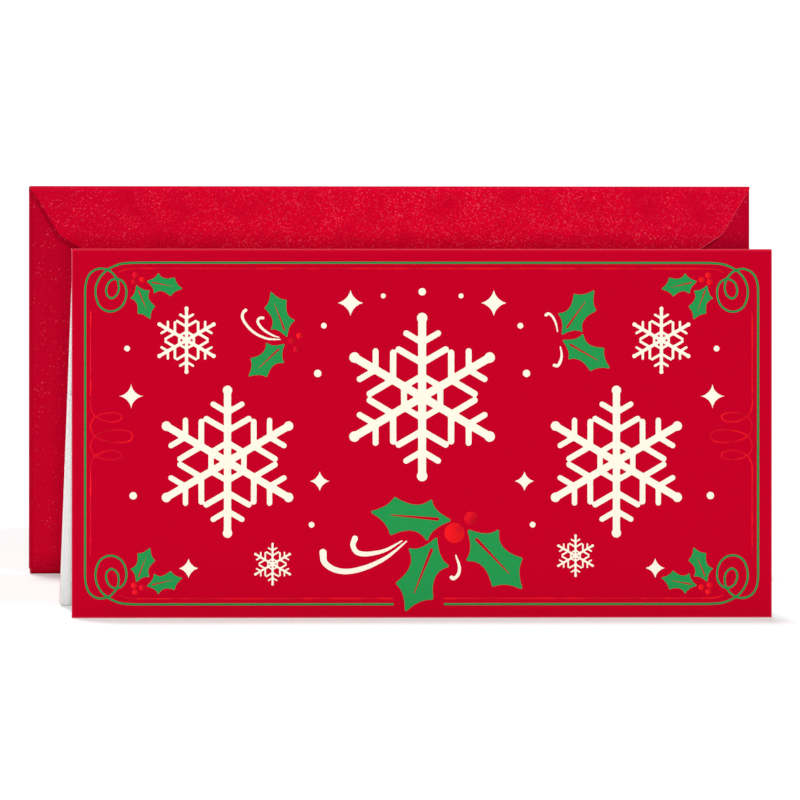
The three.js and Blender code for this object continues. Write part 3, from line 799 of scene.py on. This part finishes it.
# Snow crystals: u, w and the reach of each. Bars, branches and beads are fractions of the reach, in one
# twelfth of the crystal that is folded out six times and mirrored. A crystal under the full reach has a
# finer grid.
crystals = {"film": 0.045, "shoulder": 0.7, "pitch": 0.22, "fullReach": 12.0, "room": 0.02, "arms": 6,
            "large": {"snowflake_middle": (0, 8.8, 20.5), "snowflake_left": (-47.5, -6.8, 18.5),
                      "snowflake_right": (47.5, -6.8, 18.5)},
            "small": [(-57.5, 22.5, 8.2), (58.5, 22.5, 8.2), (-36.5, -31.5, 5.2), (37.5, -29.5, 5.2)],
            "bars": [((0, 0), (0.9, 0), 0.095), ((0.4, 0), (0.56, 0.28), 0.075),
                     ((0.64, 0), (0.75, 0.19), 0.07), ((0.25, 0), (0.1875, 0.10825), 0.07)],
            "bead": (0.93, 0.062)}
sparkles = {"film": 0.045, "pitch": 0.12, "shoulder": 0.5, "sharpness": 0.62, "dotRun": 0.01,
            "stars": [(17.5, 31.5, 3.4), (71.0, 9.0, 3.0), (25.0, -11.5, 2.6), (57.0, -32.5, 2.6)],
            "dots": [(9.5, 33.2, 0.6), (25.5, 14.5, 0.9), (70.5, -15.0, 0.9), (72.0, 20.5, 0.7),
                     (27.0, -22.0, 0.7), (24.0, 26.0, 0.7)], "topDot": (0, 34.2, 0.9)}


# Each spot with its mirror image on the left
def inPairs(spots):
    return [(u * flip, w, size) for u, w, size in spots for flip in (-1, 1)]


# The angle from the upright arm is folded to half the angle between two arms, where the bars are pen
# strokes and the bead a disc
def crystalPatch(middleU, middleW, reach, look):
    bars = [np.array([(*start, pen), (*end, pen)]) * reach for start, end, pen in look["bars"]]
    spread = 2 * np.pi / look["arms"]

    def fieldOf(u, w):
        radius, angle = np.hypot(u - middleU, w - middleW), np.arctan2(u - middleU, w - middleW)
        folded = np.abs((angle + spread / 2) % spread - spread / 2)
        along, across = radius * np.cos(folded), radius * np.sin(folded)
        bead = np.hypot(along - look["bead"][0] * reach, across) - look["bead"][1] * reach
        return np.min([bead] + [strokeField(along, across, bar) for bar in bars], axis=0)
    box = boxRound([(middleU, middleW)], reach * (sum(look["bead"]) + look["room"]))
    return filmPatch(fieldOf, box, {**look, "pitch": look["pitch"] * min(1, reach / look["fullReach"])})


# A four-pointed sparkle: the sum of the two distances from its axes, each raised to a power under one
def sparklePatch(middleU, middleW, reach, look):
    power = look["sharpness"]

    def fieldOf(u, w):
        return (np.abs(u - middleU) ** power + np.abs(w - middleW) ** power) ** (1 / power) - reach
    return filmPatch(fieldOf, boxRound([(middleU, middleW)], reach), look)


for name, place in crystals["large"].items():
    layPrint(name, [crystalPatch(*place, crystals)], inkCream)
smallPrint = [crystalPatch(*place, crystals) for place in crystals["small"]]
smallPrint += [sparklePatch(*place, sparkles) for place in inPairs(sparkles["stars"])]
smallPrint += [strokePatch([(u, w, 2 * size), (u + sparkles["dotRun"], w, 2 * size)], swashes)
               for u, w, size in [sparkles["topDot"]] + inPairs(sparkles["dots"])]
layPrint("snow_scatter", smallPrint, inkCream)

# Floor: white, with a little light of its own for the camera, so that it is as white as the background but
# for the shadows close to the paper. World: white where it is seen, softer where it lights.
stage = {"halfSize": 40.0, "floor": "D8D8D8", "floorGlow": 0.37, "glow": "FBFFFF", "ambient": 0.07}


def makeStage(stage):
    corners = np.array([(-1, -1, 0), (1, -1, 0), (1, 1, 0), (-1, 1, 0)]) * stage["halfSize"] / mm
    material, tree, shader, _ = startMaterial("white_paper_floor")
    rays = addNode(tree, "LightPath", {}, {})
    glow = addNode(tree, "Math", {"operation": "MULTIPLY"},
                   {0: rays.outputs["Is Camera Ray"], 1: stage["floorGlow"]})
    setInputs(tree, shader, {"Base Color": stage["floor"], "Roughness": 1.0, "Specular IOR Level": 0.0,
                             "Emission Color": stage["glow"], "Emission Strength": glow.outputs[0]})
    buildPiece("floor", corners, np.array([[0, 1, 2, 3]]), [material])
    world = bpy.data.worlds.new("white_room")
    bpy.context.scene.world = world
    world.use_nodes = True
    tree = world.node_tree
    rays = addNode(tree, "LightPath", {}, {})
    direct = addNode(tree, "Math", {"operation": "MAXIMUM"},
                     {0: rays.outputs["Is Camera Ray"], 1: rays.outputs["Is Glossy Ray"]})
    seen = addNode(tree, "Math", {"operation": "MAXIMUM"},
                   {0: direct.outputs[0], 1: rays.outputs["Is Transmission Ray"]})
    strength = addNode(tree, "MapRange", {},
                       {"Value": seen.outputs[0], "To Min": stage["ambient"], "To Max": 1.0})
    setInputs(tree, tree.nodes["Background"], {"Color": (1, 1, 1, 1), "Strength": strength.outputs[0]})


makeStage(stage)

# Lamps, far off: azimuth to the right of the front, elevation, width as seen from the set (all in degrees)
# and strength. The front one, near the camera's bearing, casts the card's soft shadow on the envelope, and
# the left one reaches into the card's open side. The high one draws the flap's edge, and the one overhead
# drops a short shadow in front of the feet. The rear one lights the backs and, by way of the front panel,
# the card's inside.
lamps = {"left": (-22, 5.8, 4, 0.36), "front": (-7.9, 5.6, 5, 1.08), "high": (28, 48, 2.5, 1.22),
         "overhead": (190, 75.5, 8, 2.15), "rear": (226, 6, 12, 2.2)}
for lampName, (azimuth, elevation, width, strength) in lamps.items():
    light = bpy.data.lights.new(lampName, "SUN")
    light.angle = math.radians(width)
    light.energy = strength
    holder = addObject(lampName, light)
    holder.rotation_euler = (math.radians(90 - elevation), 0, math.radians(azimuth))

# Camera: a long lens from the front, a little above and to the left, rolled by a degree. It looks at the
# target from a place that is shifted to the right and up in the picture.
view = {"distance": 9000.0, "azimuth": math.radians(9.073), "elevation": math.radians(7.203),
        "roll": math.radians(1.146), "lens": 1678.8, "sensor": 36.0, "clipEnd": 200.0,
        "target": np.array([-4.025, -41.777, 44.149]), "right": -5.395, "up": 8.077}


# The view runs along the azimuth and down by the elevation; right is level, and both right and up turn by
# the roll
def makeCamera(view):
    a, e, r = view["azimuth"], view["elevation"], view["roll"]
    forward = np.array([math.sin(a) * math.cos(e), math.cos(a) * math.cos(e), -math.sin(e)])
    level = np.array([math.cos(a), -math.sin(a), 0])
    upright = np.cross(level, forward)
    right = math.cos(r) * level + math.sin(r) * upright
    up = -math.sin(r) * level + math.cos(r) * upright
    place = (view["target"] + view["right"] * right + view["up"] * up - view["distance"] * forward) * mm
    lens = bpy.data.cameras.new("camera")
    lens.sensor_width = view["sensor"]
    lens.lens = view["lens"]
    lens.clip_end = view["clipEnd"]
    camera = addObject("camera", lens)
    columns = np.vstack([np.column_stack([right, up, -forward, place]), [0, 0, 0, 1]])
    camera.matrix_world = Matrix(columns.tolist())
    bpy.context.scene.camera = camera


makeCamera(view)
bpy.context.scene.view_settings.view_transform = "Standard"
print("floor, lamps and camera set")
